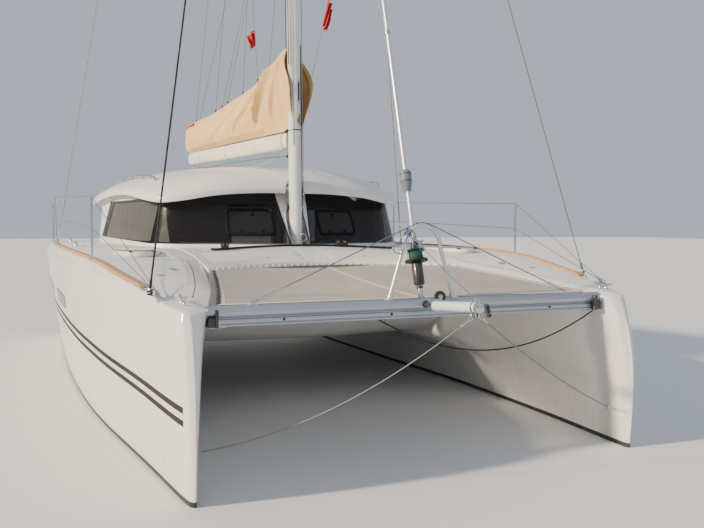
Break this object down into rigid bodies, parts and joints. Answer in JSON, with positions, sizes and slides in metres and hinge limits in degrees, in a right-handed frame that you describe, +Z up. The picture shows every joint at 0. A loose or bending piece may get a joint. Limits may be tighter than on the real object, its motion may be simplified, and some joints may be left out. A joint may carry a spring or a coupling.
{
  "type": "sailing catamaran",
  "caption": "Cruising catamaran afloat: twin hulls joined by a bridgedeck with a glazed cabin, a raked mast with its mainsail stowed on the boom, netting forward and a bowsprit.",
  "frame": {"origin": "on the centreline amidships, at the waterline", "axes": "+X to port, +Y aft, +Z up; the bows point to -Y"},
  "size_m": [5.83, 10.6116, 15.9044],
  "materials": {
    "gelcoat": "gloss",
    "antifouling": "matte",
    "smoked_glass": "gloss",
    "aluminium": "satin",
    "white_alloy": "satin",
    "steel": "polished",
    "wire": "satin",
    "black_plastic": "satin",
    "canvas": "matte",
    "netting": "matte",
    "teak": "satin",
    "joinery": "satin",
    "cushion": "matte",
    "bronze": "satin",
    "engine_paint": "satin"
  },
  "bodies": {
    "boat": {"hull_port": "gelcoat", "hull_starboard": "gelcoat", "engine_port": "engine_paint", "engine_starboard": "engine_paint", "keel_port": "antifouling", "keel_starboard": "antifouling", "saildrive_port": "engine_paint", "saildrive_starboard": "engine_paint", "bridgedeck": "gelcoat", "cabin_roof": "gelcoat", "cabin_walls": "gelcoat", "front_glass_port": "smoked_glass", "front_glass_starboard": "smoked_glass", "side_glass_port": "smoked_glass", "side_glass_starboard": "smoked_glass", "cabin_bulkhead": "gelcoat", "bulkhead_glass": "smoked_glass", "settee": "cushion", "saloon_table": "joinery", "galley": "joinery", "cockpit_bench": "gelcoat", "helm_seat": "gelcoat", "helm_console": "gelcoat", "cross_beam": "aluminium", "striker_hoop": "white_alloy", "striker_stay": "wire", "bowsprit": "white_alloy", "bobstay_port": "wire", "bobstay_starboard": "wire", "bow_line": "black_plastic", "furler_base": "white_alloy", "mast": "white_alloy", "spreaders": "white_alloy", "shroud_port": "wire", "shroud_starboard": "wire", "jib_track": "black_plastic", "trampoline": "netting", "toe_rail_port": "teak", "toe_rail_starboard": "teak", "guard_rail_port": "steel", "guard_rail_starboard": "steel", "ladder_bracket": "steel"},
    "boom_body": {"boom": "white_alloy", "sail_bag": "canvas"},
    "furler_body": {"furler": "aluminium"},
    "propeller_port_body": {"propeller_port": "bronze"},
    "propeller_starboard_body": {"propeller_starboard": "bronze"},
    "rudder_port_body": {"rudder_port": "antifouling"},
    "rudder_starboard_body": {"rudder_starboard": "antifouling"},
    "wheel_body": {"helm_wheel": "steel"},
    "deck_hatch_port_body": {"deck_hatch_port": "smoked_glass"},
    "deck_hatch_starboard_body": {"deck_hatch_starboard": "smoked_glass"},
    "engine_lid_port_body": {"engine_lid_port": "gelcoat"},
    "engine_lid_starboard_body": {"engine_lid_starboard": "gelcoat"},
    "locker_lid_port_body": {"locker_lid_port": "gelcoat"},
    "locker_lid_starboard_body": {"locker_lid_starboard": "gelcoat"},
    "window_hatch_port_body": {"window_hatch_port": "smoked_glass"},
    "window_hatch_starboard_body": {"window_hatch_starboard": "smoked_glass"},
    "door_body": {"saloon_door": "smoked_glass"},
    "ladder_body": {"swim_ladder": "steel"}
  },
  "joints": [
    {"name": "boom_swing", "type": "hinge", "parent": "boat", "child": "boom_body", "pos_m": [0, -0.9093, 3.2523], "axis": [0, 0.0401, 0.9992], "range_deg": [-44, 32]},
    {"name": "furler_spin", "type": "hinge", "parent": "boat", "child": "furler_body", "pos_m": [0, -4.588, 1.5], "axis": [0, 0.2846, 0.9587], "continuous": true},
    {"name": "propeller_port_spin", "type": "hinge", "parent": "boat", "child": "propeller_port_body", "pos_m": [2.265, 3.186, -0.69], "axis": [0, 1, 0], "continuous": true},
    {"name": "propeller_starboard_spin", "type": "hinge", "parent": "boat", "child": "propeller_starboard_body", "pos_m": [-2.265, 3.186, -0.69], "axis": [0, 1, 0], "continuous": true},
    {"name": "rudder_starboard_turn", "type": "hinge", "parent": "boat", "child": "rudder_starboard_body", "pos_m": [-2.265, 4.12, 0], "axis": [0, 0, 1], "range_deg": [-35, 35]},
    {"name": "rudder_port_turn", "type": "hinge", "parent": "boat", "child": "rudder_port_body", "pos_m": [2.265, 4.12, 0], "axis": [0, 0, 1], "range_deg": [-35, 35]},
    {"name": "wheel_turn", "type": "hinge", "parent": "boat", "child": "wheel_body", "pos_m": [-1.02, 2.12, 1.88], "axis": [0, -1, 0], "range_deg": [-360, 360]},
    {"name": "deck_hatch_port_open", "type": "hinge", "parent": "boat", "child": "deck_hatch_port_body", "pos_m": [2.075, -2.045, 1.85], "axis": [1, 0, 0], "range_deg": [0, 90]},
    {"name": "deck_hatch_starboard_open", "type": "hinge", "parent": "boat", "child": "deck_hatch_starboard_body", "pos_m": [-2.075, -2.045, 1.85], "axis": [1, 0, 0], "range_deg": [0, 90]},
    {"name": "engine_lid_port_open", "type": "hinge", "parent": "boat", "child": "engine_lid_port_body", "pos_m": [2.27, 2.78, 1.846], "axis": [1, 0, 0], "range_deg": [0, 85]},
    {"name": "engine_lid_starboard_open", "type": "hinge", "parent": "boat", "child": "engine_lid_starboard_body", "pos_m": [-2.27, 2.78, 1.846], "axis": [1, 0, 0], "range_deg": [0, 85]},
    {"name": "locker_lid_port_open", "type": "hinge", "parent": "boat", "child": "locker_lid_port_body", "pos_m": [0.625, -1.578, 1.8386], "axis": [-0.9999, 0, 0.0165], "range_deg": [0, 95]},
    {"name": "locker_lid_starboard_open", "type": "hinge", "parent": "boat", "child": "locker_lid_starboard_body", "pos_m": [-0.625, -1.578, 1.8386], "axis": [-0.9999, 0, -0.0165], "range_deg": [0, 95]},
    {"name": "window_hatch_port_open", "type": "hinge", "parent": "boat", "child": "window_hatch_port_body", "pos_m": [0.5895, -0.9749, 2.3539], "axis": [-0.9755, -0.2198, 0.0088], "range_deg": [0, 35]},
    {"name": "window_hatch_starboard_open", "type": "hinge", "parent": "boat", "child": "window_hatch_starboard_body", "pos_m": [-0.5895, -0.9749, 2.3539], "axis": [-0.9755, 0.2198, -0.0088], "range_deg": [0, 35]},
    {"name": "saloon_door_slide", "type": "slide", "parent": "boat", "child": "door_body", "axis": [1, 0, 0], "range_m": [0, 0.72]},
    {"name": "swim_ladder_turn", "type": "hinge", "parent": "boat", "child": "ladder_body", "pos_m": [2.23, 5.024, 0.522], "axis": [-1, 0, 0], "range_deg": [0, 178]}
  ],
  "couplings": [
    {"joint": "rudder_port_turn", "follows": "rudder_starboard_turn", "ratio": 1},
    {"joint": "wheel_turn", "follows": "rudder_starboard_turn", "ratio": 10.28}
  ]
}
